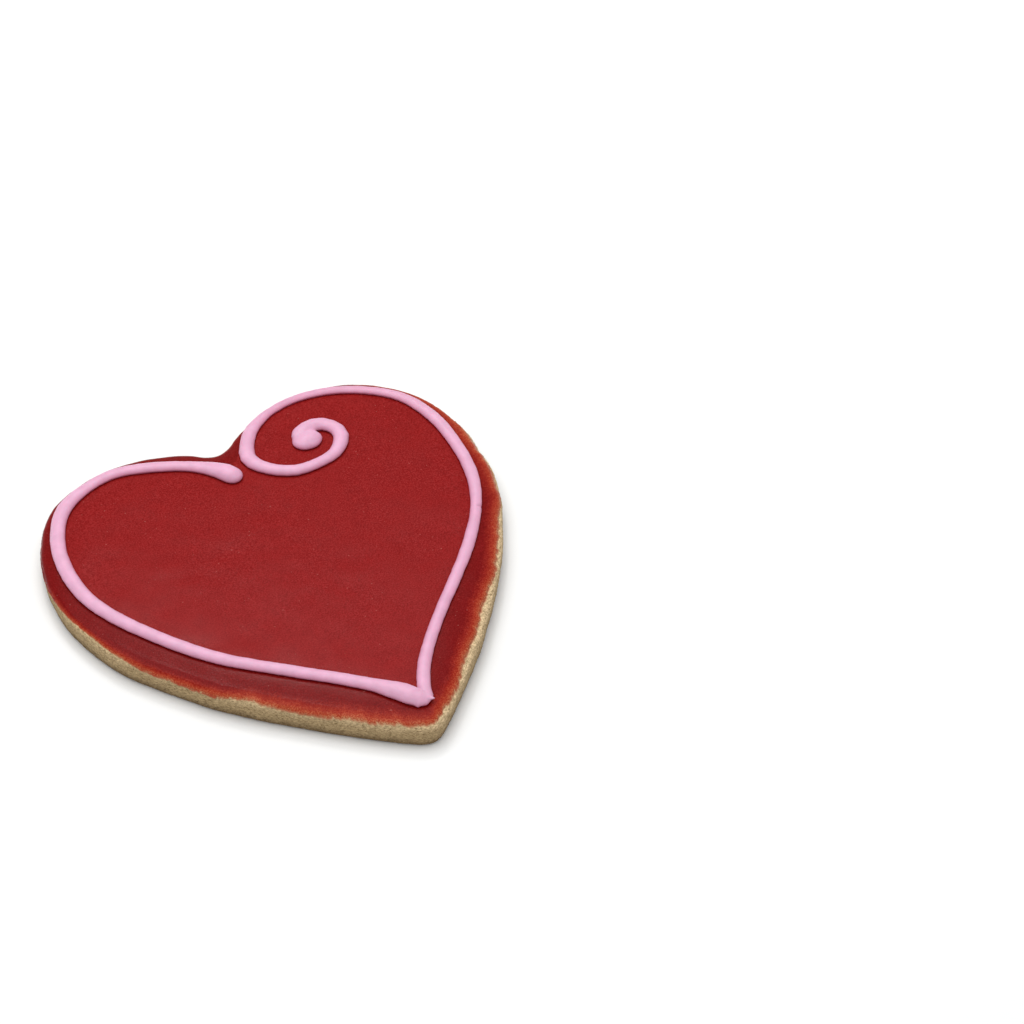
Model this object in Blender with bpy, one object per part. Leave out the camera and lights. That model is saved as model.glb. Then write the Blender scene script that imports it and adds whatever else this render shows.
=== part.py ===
"""A heart-shaped rolled biscuit with red icing, a piped pink border and a piped curl.

Metres, +Z up. The biscuit lies flat on z = 0, centred on the origin, with the heart's
point towards -Y and its two lobes towards +Y.
"""

import bmesh
import bpy
import numpy as np
from mathutils import Matrix

MM = 0.001

# Half of the heart's outline at its widest level, from the point up to the notch between the lobes.
# The other half is its mirror image across x = 0.
HALF_OUTLINE = (
    (0.0, -52.0), (2.8, -50.9), (11.7, -43.3), (29.2, -26.5), (41.4, -10.5), (49.0, 5.9), (50.8, 22.9),
    (46.7, 38.3), (35.3, 48.8), (21.1, 52.0), (8.9, 48.1), (2.5, 44.3), (0.0, 43.7),
)
HEART_CENTRE = np.array((0.0, 4.0))
OUTLINE_STEPS = 112
EDGE_FINENESS = 480
WRAP_POINTS = 3

# The baked edge wanders in and out a little: waves round the outline, size of each and where it starts.
EDGE_WAVES = (
    (1, 0.18, -2.1), (2, 0.12, -2.9), (3, 0.14, 2.5), (4, 0.23, -0.1), (5, 0.18, 2.5), (6, 0.17, -1.6),
)

# Distance in from the widest outline, and height, going up the biscuit's side and over its shoulder.
BISCUIT_THICKNESS = 5.55
BISCUIT_LOWER_SIDE = ((0.85, 0.0), (0.45, 0.3), (0.25, 1.1))
BISCUIT_SHOULDER = ((0.0, 3.2), (0.05, 4.5), (0.35, 5.1), (0.9, 5.42), (1.8, BISCUIT_THICKNESS))

# Clear space left between pieces that touch.
GAP = 0.3

# Edges that bend more than this stay crisp; seams nearer than this are welded.
SHARP_ANGLE = np.radians(40)
WELD = 0.01
HALVINGS = 24

# Height of the icing's top surface over the distance in from the biscuit's outline.
ICING_CROWN = BISCUIT_THICKNESS + GAP + 1.0
ICING_TOP = (
    (0.0, 5.55), (0.5, 5.88), (1.2, 6.18), (2.6, 6.42), (5.0, 6.64), (8.5, 6.8), (13.0, ICING_CROWN),
)

# The icing stops short of the biscuit's edge, more so on the right: mean distance in, then waves.
ICING_EDGE = 0.55
ICING_EDGE_WAVES = ((1, 0.28, 0.2), (5, 0.07, 1.0), (9, 0.06, 3.0))
ICING_EDGE_REACH = 5.0
ICING_EDGE_LOWEST = 5.3
ICING_RINGS = (0.0, 0.4, 1.1, 2.4, 5.0, 8.5, 13.0)
ICING_UNDER_RINGS = (1.6, 0.6, 0.05)

# Piped bead: its rise as a share of its width, and the distance between its sections.
BEAD_RISE = 0.45
BEAD_SIDES = 8
BEAD_STEP = 2.0
BEAD_END_STEPS = (0.0, 0.2, 0.6, 1.2)
BLUNTEST_END = 0.98
ROUTE_FINENESS = 20

# Border strokes: direction from the heart's centre in degrees, distance in from the outline, bead width.
LEFT_BORDER = (
    (90.2, 10.8, 4.5), (92.5, 7.5, 4.9), (95.7, 5.3, 4.1), (101, 4.3, 3.2), (109, 4.2, 3.2),
    (117, 3.7, 3.15), (125, 3.3, 3.2), (132, 2.75, 3.6), (139, 3.6, 3.35), (147, 4.5, 3.3),
    (157, 5.25, 3.25), (167, 6.6, 3.15), (182, 8.45, 3.1), (208, 8.75, 3.1), (238, 9.95, 3.1),
    (252, 10.05, 3.2), (262, 9.55, 3.45), (267.9, 8.6, 4.7), (270.8, 6.5, 4.2), (273.2, 4.8, 2.4),
)
RIGHT_BORDER = (
    (273, 4.3, 2.1), (273.2, 6.3, 2.9), (275.4, 7.7, 3.0), (280.2, 8.95, 2.9), (290, 9.7, 2.75),
    (303, 9.7, 2.7), (321, 8.6, 2.75), (338, 7.0, 2.8), (353, 5.65, 2.55), (5.5, 5.1, 2.9),
    (18, 4.75, 3.0), (29, 3.8, 3.2), (39, 3.1, 2.9), (50, 2.95, 2.7), (60, 2.4, 2.65),
    (69, 2.0, 2.75), (76, 2.1, 3.4),
)

# The curl carries the right border on into the lobe: direction from its eye, distance, bead width.
CURL_EYE = np.array((18.3, 36.1))
CURL = (
    (154, 13.05, 3.5), (175, 13.6, 3.7), (197, 11.85, 3.3), (226, 9.65, 3.15), (260, 7.65, 2.95),
    (300, 7.5, 3.1), (338, 7.9, 3.5), (361, 7.65, 3.6), (383, 6.65, 3.6), (403, 5.4, 3.8),
    (422, 3.8, 4.0), (452, 2.5, 4.3), (492, 2.3, 4.3),
)
CURL_BLOB = (18.7, 36.3)
CURL_BLOB_WIDTH = 7.1
CURL_BLOB_DEPTH = 6.0
CURL_BLOB_RISE = 1.9
BLOB_RINGS = 10
BLOB_SIDES = 20

COLOURS = {
    "biscuit": (0.42, 0.31, 0.18, 1.0),
    "red_icing": (0.31, 0.02, 0.019, 1.0),
    "pink_piping": (0.78, 0.42, 0.6, 1.0),
}
ROUGHNESS = {"biscuit": 0.9, "red_icing": 0.5, "pink_piping": 0.45}


def clear_scene():
    for thing in list(bpy.data.objects):
        bpy.data.objects.remove(thing, do_unlink=True)


def make_collection(name):
    collection = bpy.data.collections.new(name)
    bpy.context.scene.collection.children.link(collection)
    return collection


def make_material(name):
    material = bpy.data.materials.new(name)
    material.use_nodes = True
    shader = material.node_tree.nodes["Principled BSDF"]
    shader.inputs["Base Color"].default_value = COLOURS[name]
    shader.inputs["Roughness"].default_value = ROUGHNESS[name]
    shader.inputs["Metallic"].default_value = 0.0
    return material


def smooth_route(points, steps):
    """A curve through all the points, with the given number of steps between each pair."""
    points = np.asarray(points, dtype=float)
    before = np.roll(points, 1, axis=0)
    after = np.roll(points, -1, axis=0)
    before[0] = 2 * points[0] - points[1]
    after[-1] = 2 * points[-1] - points[-2]
    slopes = (after - before) / 2
    route = [points[0]]
    for start in range(len(points) - 1):
        for t in np.linspace(0, 1, steps + 1)[1:]:
            route.append(
                (2 * t**3 - 3 * t**2 + 1) * points[start]
                + (t**3 - 2 * t**2 + t) * slopes[start]
                + (3 * t**2 - 2 * t**3) * points[start + 1]
                + (t**3 - t**2) * slopes[start + 1]
            )
    return np.array(route)


def lengths_along(route):
    steps = np.linalg.norm(np.diff(route[:, :2], axis=0), axis=1)
    return np.concatenate(([0.0], np.cumsum(steps)))


def sample_route(route, distances):
    along = lengths_along(route)
    return np.stack([np.interp(distances, along, column) for column in route.T], axis=1)


def wander_at(share, waves):
    return sum(size * np.sin(2 * np.pi * count * share + start) for count, size, start in waves)


def heart_outline(count):
    """Evenly spaced points round the heart, anticlockwise from its point, with the baked wander."""
    right = list(HALF_OUTLINE)
    left = [(-x, y) for x, y in reversed(HALF_OUTLINE[1:-1])]
    loop = right + left
    wrapped = loop[-WRAP_POINTS:] + loop + loop[: WRAP_POINTS + 1]
    route = smooth_route(wrapped, ROUTE_FINENESS)
    route = route[WRAP_POINTS * ROUTE_FINENESS : -WRAP_POINTS * ROUTE_FINENESS]
    whole = lengths_along(route)[-1]
    share = np.arange(count) / count
    points = sample_route(route, share * whole)
    outward = points - HEART_CENTRE
    outward /= np.linalg.norm(outward, axis=1)[:, None]
    return points + outward * wander_at(share, EDGE_WAVES)[:, None]


FINE_OUTLINE = heart_outline(EDGE_FINENESS)


def edge_distance(points):
    """Distance from each point to the heart's outline."""
    starts = FINE_OUTLINE
    runs = np.roll(FINE_OUTLINE, -1, axis=0) - starts
    offsets = points[:, None, :] - starts[None, :, :]
    along = np.clip((offsets * runs).sum(axis=2) / (runs * runs).sum(axis=1), 0, 1)
    gaps = offsets - along[:, :, None] * runs
    return np.sqrt((gaps * gaps).sum(axis=2)).min(axis=1)


def points_at_inset(directions, limit, inset):
    """On each ray from the heart's centre, the point that lies the given distance in from the outline."""
    low = np.zeros(len(directions))
    high = np.array(limit, dtype=float)
    for _ in range(HALVINGS):
        middle = (low + high) / 2
        inside = edge_distance(HEART_CENTRE + directions * middle[:, None]) > inset
        low = np.where(inside, middle, low)
        high = np.where(inside, high, middle)
    return HEART_CENTRE + directions * low[:, None]


def ring_points(inset, height):
    """A heart-shaped ring; the distance in and the height are one number each, or one for each point."""
    spokes = heart_outline(OUTLINE_STEPS) - HEART_CENTRE
    reach = np.linalg.norm(spokes, axis=1)
    places = points_at_inset(spokes / reach[:, None], reach, inset)
    return np.column_stack((places, np.full(OUTLINE_STEPS, height)))


def height_over(profile, inset):
    insets, heights = zip(*profile)
    return np.interp(inset, insets, heights)


def icing_ring_inset(depth):
    """Distance in from the biscuit's outline of a ring that lies the given depth inside the icing's edge."""
    share = np.arange(OUTLINE_STEPS) / OUTLINE_STEPS
    edge = ICING_EDGE + wander_at(share, ICING_EDGE_WAVES)
    return depth + edge * max(0.0, 1 - depth / ICING_EDGE_REACH)


def link_mesh(name, bm, collection):
    bmesh.ops.recalc_face_normals(bm, faces=bm.faces)
    mesh = bpy.data.meshes.new(name)
    bm.to_mesh(mesh)
    bm.free()
    mesh.shade_smooth()
    mesh.set_sharp_from_angle(angle=SHARP_ANGLE)
    thing = bpy.data.objects.new(name, mesh)
    collection.objects.link(thing)
    return thing


def make_heart_solid(name, rings, collection):
    """Lofts heart-shaped rings from one end to the other and closes both ends."""
    bm = bmesh.new()
    loops = [[bm.verts.new(place * MM) for place in ring] for ring in rings]
    for lower, upper in zip(loops, loops[1:]):
        for here in range(OUTLINE_STEPS):
            there = (here + 1) % OUTLINE_STEPS
            bm.faces.new((lower[here], lower[there], upper[there], upper[here]))
    bm.faces.new(loops[0])
    bm.faces.new(loops[-1])
    return link_mesh(name, bm, collection)


def make_biscuit(collection):
    rings = [ring_points(inset, height) for inset, height in BISCUIT_LOWER_SIDE + BISCUIT_SHOULDER]
    return make_heart_solid("biscuit", rings, collection)


def make_icing(collection):
    """A skin over the biscuit: its underside follows the shoulder, its top thins out to the edge."""
    rings = []
    for depth in ICING_UNDER_RINGS:
        inset = icing_ring_inset(depth)
        height = np.maximum(height_over(BISCUIT_SHOULDER, inset) + GAP, ICING_EDGE_LOWEST)
        rings.append(ring_points(inset, height))
    for depth in ICING_RINGS:
        inset = icing_ring_inset(depth)
        rings.append(ring_points(inset, height_over(ICING_TOP, inset)))
    return make_heart_solid("red_icing", rings, collection)


def reach_towards(direction):
    """How far the heart's outline is from its centre in one direction."""
    spokes = FINE_OUTLINE - HEART_CENTRE
    sideways = np.abs(spokes @ np.array((-direction[1], direction[0])))
    ahead = spokes @ direction > 0
    return (spokes @ direction)[ahead][np.argmin(sideways[ahead])]


def border_stations(border):
    """Places along the border, each with the bead's width."""
    stations = []
    for angle, inset, width in border:
        turn = np.radians(angle)
        direction = np.array((np.cos(turn), np.sin(turn)))
        x, y = points_at_inset(direction[None, :], [reach_towards(direction)], inset)[0]
        stations.append((x, y, width))
    return stations


def curl_stations():
    stations = []
    for angle, distance, width in CURL:
        turn = np.radians(angle)
        x, y = CURL_EYE + distance * np.array((np.cos(turn), np.sin(turn)))
        stations.append((x, y, width))
    return stations


def bead_sections(stations):
    """Evenly spaced sections along a stroke, closer and narrower at its rounded ends."""
    route = smooth_route(stations, ROUTE_FINENESS)
    whole = lengths_along(route)[-1]
    ends = np.array(BEAD_END_STEPS)
    middle = np.linspace(BEAD_STEP, whole - BEAD_STEP, round(whole / BEAD_STEP) - 1)
    distances = np.concatenate((ends, middle, whole - ends[::-1]))
    sections = sample_route(route, distances)
    half = sections[:, 2] / 2
    from_end = np.minimum(distances, whole - distances)
    closeness = np.clip(1 - from_end / half, 0, BLUNTEST_END)
    half = half * np.sqrt(1 - closeness**2)
    base = height_over(ICING_TOP, edge_distance(sections[:, :2])) + GAP
    return np.column_stack((sections[:, :2], base, half))


def make_bead_profile(collection):
    """Half-round profile of a piped bead, one metre from its middle to its side, flat underneath."""
    curve = bpy.data.curves.new("bead_profile", "CURVE")
    curve.dimensions = "2D"
    spline = curve.splines.new("POLY")
    spline.points.add(BEAD_SIDES)
    for point, angle in zip(spline.points, np.linspace(0, np.pi, BEAD_SIDES + 1)):
        point.co = (np.cos(angle), 2 * BEAD_RISE * np.sin(angle), 0, 1)
    spline.use_cyclic_u = True
    profile = bpy.data.objects.new("bead_profile", curve)
    profile.hide_render = True
    profile.display_type = "WIRE"
    collection.objects.link(profile)
    return profile


def make_stroke(name, stations, profile, collection):
    """Sweeps the bead's profile along a stroke and returns it as a closed mesh."""
    curve = bpy.data.curves.new(name, "CURVE")
    curve.dimensions = "3D"
    curve.twist_mode = "Z_UP"
    curve.bevel_mode = "OBJECT"
    curve.bevel_object = profile
    curve.use_fill_caps = True
    spline = curve.splines.new("POLY")
    sections = bead_sections(stations)
    spline.points.add(len(sections) - 1)
    for point, (x, y, z, half) in zip(spline.points, sections):
        point.co = (x * MM, y * MM, z * MM, 1)
        point.radius = half * MM
    path = bpy.data.objects.new(name + "_path", curve)
    collection.objects.link(path)
    bpy.context.view_layer.update()
    swept = path.evaluated_get(bpy.context.evaluated_depsgraph_get())
    mesh = bpy.data.meshes.new_from_object(swept)
    bm = bmesh.new()
    bm.from_mesh(mesh)
    bmesh.ops.remove_doubles(bm, verts=bm.verts, dist=WELD * MM)
    bpy.data.objects.remove(path)
    bpy.data.meshes.remove(mesh)
    return link_mesh(name, bm, collection)


def make_blob(collection):
    """The round drop that ends the curl: a dome, flat underneath."""
    base = height_over(ICING_TOP, edge_distance(np.array([CURL_BLOB])))[0] + GAP
    bm = bmesh.new()
    bmesh.ops.create_uvsphere(bm, u_segments=BLOB_SIDES, v_segments=BLOB_RINGS, radius=MM)
    for vert in bm.verts:
        vert.co.z = max(vert.co.z, 0)
    size = (CURL_BLOB_WIDTH / 2, CURL_BLOB_DEPTH / 2, CURL_BLOB_RISE)
    bmesh.ops.scale(bm, verts=bm.verts, vec=size)
    bmesh.ops.translate(bm, verts=bm.verts, vec=(CURL_BLOB[0] * MM, CURL_BLOB[1] * MM, base * MM))
    return link_mesh("curl_blob", bm, collection)


def make_piping(collection, workings):
    """Both strokes and the curl's blob, joined into one solid."""
    profile = make_bead_profile(workings)
    piping = make_stroke("pink_piping", border_stations(LEFT_BORDER), profile, collection)
    right_stations = border_stations(RIGHT_BORDER) + curl_stations()
    make_stroke("right_stroke", right_stations, profile, workings)
    make_blob(workings)
    bpy.data.objects.remove(profile)
    union = piping.modifiers.new("join_strokes", "BOOLEAN")
    union.operation = "UNION"
    union.operand_type = "COLLECTION"
    union.collection = workings
    bpy.context.view_layer.update()
    joined = piping.evaluated_get(bpy.context.evaluated_depsgraph_get())
    mesh = bpy.data.meshes.new_from_object(joined)
    piping.modifiers.clear()
    piping.data = mesh
    for thing in list(workings.objects):
        bpy.data.objects.remove(thing)
    return piping


def centre_on_origin(pieces):
    """Moves the meshes sideways so that the middle of their common box is at the origin."""
    places = np.array([vert.co[:] for piece in pieces for vert in piece.data.vertices])
    middle = (places.min(axis=0) + places.max(axis=0)) / 2
    for piece in pieces:
        piece.data.transform(Matrix.Translation((-middle[0], -middle[1], 0)))


def build():
    clear_scene()
    cookie = make_collection("iced_heart_biscuit")
    workings = make_collection("workings")
    pieces = [make_biscuit(cookie), make_icing(cookie), make_piping(cookie, workings)]
    bpy.data.collections.remove(workings)
    centre_on_origin(pieces)
    for piece in pieces:
        piece.data.materials.clear()
        piece.data.materials.append(make_material(piece.name))


build()
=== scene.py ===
"""A heart-shaped iced biscuit: its crumbly baked side, red icing, pink piped border and curl.

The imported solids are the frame. Each finer piece below stands for one of them, and is worked out
from that solid's own mesh or from the named sizes here.
"""

import math

import bmesh
import bpy
import numpy as np
from mathutils import Matrix, Quaternion, Vector, noise
from mathutils.bvhtree import BVHTree


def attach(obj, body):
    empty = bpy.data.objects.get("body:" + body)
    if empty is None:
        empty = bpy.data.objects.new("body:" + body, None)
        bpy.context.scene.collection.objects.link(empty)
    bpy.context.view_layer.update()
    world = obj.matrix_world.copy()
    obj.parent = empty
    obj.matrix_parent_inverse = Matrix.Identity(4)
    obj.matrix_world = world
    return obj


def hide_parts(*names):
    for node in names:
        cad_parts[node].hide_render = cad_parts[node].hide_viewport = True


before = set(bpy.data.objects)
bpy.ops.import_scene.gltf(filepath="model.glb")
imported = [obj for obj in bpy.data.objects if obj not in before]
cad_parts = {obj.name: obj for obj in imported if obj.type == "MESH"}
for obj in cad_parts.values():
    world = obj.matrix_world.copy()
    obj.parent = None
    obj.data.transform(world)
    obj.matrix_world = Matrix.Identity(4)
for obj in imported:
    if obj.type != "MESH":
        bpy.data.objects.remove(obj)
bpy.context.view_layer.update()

bl_info = {
    "name": "Heart biscuit",
    "version": (1, 0, 0),
    "blender": (4, 5, 0),
    "location": "View3D > Sidebar > Biscuit",
    "description": "Builds an iced heart biscuit with a piped border and curl",
    "category": "Object",
}

MM = 0.001
WELD = 0.01 * MM

# Clear space that the solids keep between them, in millimetres, and how far the piped line then
# sinks into the icing. The finer pieces close the space.
SOLID_GAP = 0.3
SUNK = 0.03

# Noise: what brings it to about -1 to 1, how far apart the patterns of two seeds lie, and for the
# crumb its roughness, the step in size between its levels, and their number.
WANDER_GAIN = 1.6
WANDER_SEED_STEPS = (17.3, 5.1, 9.7)
CRUMB_SEED_STEPS = (3.7, 11.9, 7.3)
CRUMB_LEVELS = (0.6, 2.2, 4)

# Patterns in layers: the size of a layer's features in millimetres, its seed, and its share.
OUTLINE_SCALLOPS = ((9.0, 9, 1.0), (3.5, 10, 0.5))
EDGE_RAGS = ((1.6, 1, 0.16), (0.7, 2, 0.05))
ICING_SWELLS = ((14.0, 5, 1.0), (5.0, 6, 0.5))
PIPING_SWELLS = ((2.2, 7, 1.0), (0.9, 8, 0.6))
COARSE_CRUMB = (1.7, 3, 0.55)
FINE_CRUMB = (0.55, 4, 0.45)
FINE_CRUMB_FLATNESS = 1.6
CRUMB_SINK = 0.15

# Biscuit's side, in millimetres: distance in from its widest outline, and height, going up.
BISCUIT_THICKNESS = 5.55
BISCUIT_WIDEST = 3.2
BISCUIT_SIDE = (
    (0.85, 0.0), (0.45, 0.3), (0.25, 1.1), (0.0, BISCUIT_WIDEST), (0.05, 4.5), (0.35, 5.1),
    (0.9, 5.42), (1.8, BISCUIT_THICKNESS), (3.0, BISCUIT_THICKNESS),
)
SIDE_STEP = 0.2
SIDE_FINENESS = 12
ROUNDS_PER_RING_POINT = 15
SPOKE_INSETS = (0.0, 0.3, 0.6, 1.0, 1.5, 2.0, 3.0, 4.0, 5.0)
SPOKE_ROUNDS = 4
POINTS_AT_ONCE = 600
NEAR_SPACING = 2
FAR_SPACING = 6
UNDERSIDE_RINGS = (0.985, 0.96, 0.92, 0.85, 0.7, 0.5, 0.3, 0.1)
UNDERSIDE_INWARD = -10.0
CRUMB_BEGIN = 0.05
CRUMB_FADE = 0.5

# Icing's top, in millimetres: distance in from the biscuit's widest outline, and height.
ICING_CROWN = 6.85
ICING_TOP = (
    (0.0, 5.3), (0.5, 5.72), (1.2, 6.1), (2.6, 6.42), (5.0, 6.64), (8.5, 6.8), (13.0, ICING_CROWN),
)
ICING_SAG_REACH = (2.5, 8.5)
ICING_BITE = 0.1
ICING_UNDER_INSET = 0.6
BLEED_REACH = 3.2
STREAK_STRETCH = 0.9
ICING_NEAR_RINGS = 18
ICING_NEAR_REACH = 3.0
ICING_FAR_RINGS = 36
ICING_RING_CROWDING = 1.4
ICING_CENTRE = 0.03
ICING_UNDERSIDE = 5.45
ICING_UNDERSIDE_RINGS = (0.1, 0.5, 1.0)
ICING_LEAST_INSET = 0.02
ICING_LEAST_RAGGED = 0.35
SWELL_BEGIN = 0.1
SWELL_FADE = 0.5
THIN_REACH = 2.0
THIN_CRUMB = 0.5

# Where the icing ends: share of the way round anticlockwise from the heart's point,
# and distance in from the biscuit's outline in millimetres.
ICING_EDGE = (
    (0.0, 1.1), (0.018, 1.1), (0.036, 0.6), (0.06, 1.5), (0.09, 1.35), (0.107, 1.7), (0.12, 1.6),
    (0.145, 0.88), (0.165, 1.05), (0.18, 1.12), (0.2, 0.75), (0.215, 0.15), (0.235, 0.58), (0.255, 0.5),
    (0.27, 0.45), (0.295, 0.55), (0.33, 0.2), (0.5, 0.15), (0.6, 0.08), (0.66, 0.12), (0.7, 0.03),
    (0.718, 0.15), (0.75, 0.6), (0.786, 0.5), (0.804, 0.1), (0.825, 0.15), (0.857, 0.05), (0.876, 0.75),
    (0.893, 0.45), (0.92, 0.25), (0.946, 0.55), (0.964, 0.5), (0.98, 0.95), (1.0, 1.1),
)

# Round the outline as above: how far the icing sags outside the border, how wide its rounded rim is,
# how sharply its edge colour fades, how far its red runs down the side below it, and how far the
# baked edge swells beyond the solid's.
ICING_SAG = (
    (0.0, 0.3), (0.03, 0.12), (0.2, 0.08), (0.28, -0.1), (0.35, -0.2), (0.58, -0.25), (0.66, 0.05),
    (0.74, 0.28), (0.95, 0.34), (1.0, 0.3),
)
ICING_ROUNDING = (
    (0.0, 1.3), (0.2, 1.3), (0.3, 0.8), (0.4, 0.6), (0.6, 0.6), (0.68, 1.1), (1.0, 1.3),
)
BLEED_SHARPNESS = (
    (0.0, 1.0), (0.12, 1.0), (0.2, 1.0), (0.26, 0.8), (0.3, 0.7), (0.36, 1.5), (0.42, 4.0), (0.6, 4.0),
    (0.7, 4.0), (0.75, 3.2), (0.79, 1.9), (0.83, 1.8), (0.88, 1.0), (0.92, 0.9), (0.95, 0.75), (1.0, 0.9),
)
RED_RUN = (
    (0.0, 0.0), (0.25, 0.0), (0.45, 0.0), (0.55, 0.0), (0.6, 0.0), (0.64, 1.2), (0.68, 1.2), (0.71, 0.1),
    (0.76, 0.0), (0.88, 0.0), (1.0, 0.0),
)
EDGE_SWELL = (
    (0.0, -0.35), (0.03, 0.05), (0.085, 0.3), (0.11, -0.1), (0.14, 0.1), (0.2, 0.15), (0.25, 0.35),
    (0.268, -0.05), (0.287, 0.55), (0.31, 0.3), (0.338, 0.25), (0.38, 0.4), (0.4, 0.05), (0.43, 0.15),
    (0.467, 0.35), (0.5, 0.1), (0.52, 0.6), (0.545, 0.05), (0.565, -0.8), (0.585, -0.6), (0.605, -0.35),
    (0.627, 0.45), (0.643, 0.35), (0.66, -0.2), (0.685, -0.2), (0.71, -0.1), (0.757, -0.5), (0.785, -0.25),
    (0.825, -0.45), (0.855, -0.1), (0.9, -0.2), (0.95, 0.1), (0.98, 0.05), (1.0, -0.35),
)
EDGE_SCALLOPS = 0.09

# Piped line, in millimetres.
PIPING_VOXEL = 0.19
PIPING_SMOOTHING = 20
PIPING_SMOOTH_FACTOR = 0.5
BORDER_SECTOR = math.radians(4)
BORDER_HALF_WIDTH = 1.6
PIPING_GROWTH = 0.15
FOOT_BLEND = 0.6
FOOT_DEPTH = 0.08
FOOT_TUCK = 0.45
FOOT_HEIGHT = 0.5
FOOT_CURVE = 1.3
PIPING_SHIFT = (-0.1, -0.27)
# Height above the icing over which painted shade darkens the line towards its foot.
FOOT_SHADE_HEIGHT = 1.4
# Peaks: place, lean, radius and length.
PEAKS = (
    ((1.9, -45.7, 7.5), (0.8, -0.55, -0.15), 0.45, 1.6), ((-0.8, -45.8, 6.8), (-0.1, -0.8, 0.1), 0.5, 0.7),
)
# Where the curl's end runs into its drop: middle and radius of the icing between them.
CURL_JOIN = ((17.2, 37.9, 7.5), 1.2)
CURL_JOIN_FINENESS = 3
# Dents: place, radius and depth.
PITS = (
    ((39.9, -2.3), 0.35, 0.25), ((1.9, -40.3), 0.4, 0.25), ((-9.5, -32.5), 0.3, 0.15),
    ((40.4, -2.3), 0.3, 0.12), ((-31.0, -10.6), 0.25, 0.1), ((44.6, 12.0), 0.22, 0.1),
)

# Colours round the icing's edge, in millimetres: size of the broad and fine streaks and how far they
# move the colours, how far in each colour lies, and where the crumb takes over.
STREAK_GAIN = 4.0
EDGE_STREAKS = ((2.2, 0.3), (0.6, 0.13))
EDGE_COLOUR_INSETS = (0.0, 0.4, 1.0, 1.9, BLEED_REACH)
STAIN_FADE = (-0.4, 0.12)

# Baked crust, in millimetres: size of its patches and how far they shift its browning, the heights
# between which its browned base, darkened further by painted shade, gives way to the side and the
# pale rim, the places across over which painted light makes the rim paler towards the right, and
# its grain and bump.
CRUST_PATCH_SIZE = 3.0
CRUST_PATCH_SHIFT = 2.4
# Heights over which the browned base, also darkened as painted shade, gives way to the side.
CRUST_BROWNING_AND_SHADE = (0.2, 3.1)
CRUST_RIM = (3.4, 5.3)
# Painted light: across the heart the pale rim is made stronger towards the right.
CRUST_RIM_LIGHT_ACROSS = (-6.0, 8.0)
CRUST_RIM_LIGHT_STRENGTH = (0.5, 1.0)
CRUST_GRAIN_SIZE = 0.7
CRUST_GRAIN_FLATNESS = 2.4
CRUST_GRAIN = ((0.34, (0.26, 0.2, 0.1)), (0.5, (1.0, 1.0, 1.0)), (0.66, (1.62, 1.62, 1.7)))
CRUST_ROUGHNESS = 0.9
CRUST_SPECULAR = 0.25
CRUST_BUMP_SIZE = 0.35
CRUST_BUMP = 0.12

# Set icing, in millimetres: its mottle, its fine speckle and its few larger specks.
WITHIN_BLEND = (0.3, 0.7)
ICING_MOTTLE_SIZE = 3.5
ICING_MOTTLE = ((0.3, (0.95,) * 3), (0.7, (1.05,) * 3))
ICING_SPECKLE_SIZE = 0.3
ICING_SPECKLE = ((0.3, (0.74, 0.4, 0.4)), (0.5, (1.0, 1.0, 1.0)), (0.7, (1.26, 2.1, 2.1)))
ICING_SPECK_SIZE = 0.5
ICING_SPECK_LEVELS = (0.835, 0.87)
ICING_SPECK_STRENGTH = (0.0, 0.2)
ICING_SPECK_COLOUR = (0.7, 0.3, 0.25)
ICING_SPECULAR = 0.05
ICING_BUMP = 0.02

# Piped icing, in millimetres: its patches, its painted shade towards the foot, and how far light goes into
# it.
PIPING_PATCH_SIZE = 2.5
PIPING_PATCH_LEVELS = (0.35, 0.65)
PIPING_PALER = 1.04
PIPING_DEEPER = 0.95
FOOT_SHADE_CURVE = 1.4
PIPING_SPECULAR = 0.35
PIPING_SUBSURFACE = 0.25
PIPING_SUBSURFACE_RADIUS = (1.0, 0.35, 0.45)
PIPING_SUBSURFACE_DEPTH = 0.6
PIPING_BUMP_SIZE = 0.6
PIPING_BUMP = 0.02

# Camera, in millimetres and degrees, from the photograph's own view of the heart.
CAMERA_PLACE = (-269.81, -529.74, 599.47)
CAMERA_TARGET = (49.24, -1.03, 0.0)
CAMERA_ROLL = -0.156
CAMERA_LENS = 137.83
CAMERA_NEAREST = 50.0

# Floor and softboxes, in metres.
FLOOR_SIZE = 3.0
FLOOR_ROUGHNESS = 0.8
FLOOR_SPECULAR = 0.1
OVERHEAD_PLACE = (0.0, 0.2, 0.79)
OVERHEAD_SIZE = 0.8
FAR_SIDE_PLACE = (0.138, 0.438, 0.655)
FAR_SIDE_SIZE = 0.12


class BiscuitSettings(bpy.types.PropertyGroup):
    side_colour: bpy.props.FloatVectorProperty(
        name="Side", description="Colour of the baked side", subtype="COLOR", size=3,
        min=0, max=1, default=(0.38, 0.272, 0.14),
    )
    rim_colour: bpy.props.FloatVectorProperty(
        name="Rim", description="Colour of the paler rim beside the icing", subtype="COLOR", size=3,
        min=0, max=1, default=(0.59, 0.44, 0.255),
    )
    # Browning of the bottom edge, also darkened as painted shade where the lower side lies in shade.
    base_brown_and_shade_colour: bpy.props.FloatVectorProperty(
        name="Base", description="Colour of the browned bottom edge", subtype="COLOR", size=3,
        min=0, max=1, default=(0.19, 0.125, 0.06),
    )
    crumb_depth: bpy.props.FloatProperty(
        name="Crumb depth", description="How far the crumb stands in and out of the side",
        unit="LENGTH", default=0.17 * MM, min=0,
    )


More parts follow.
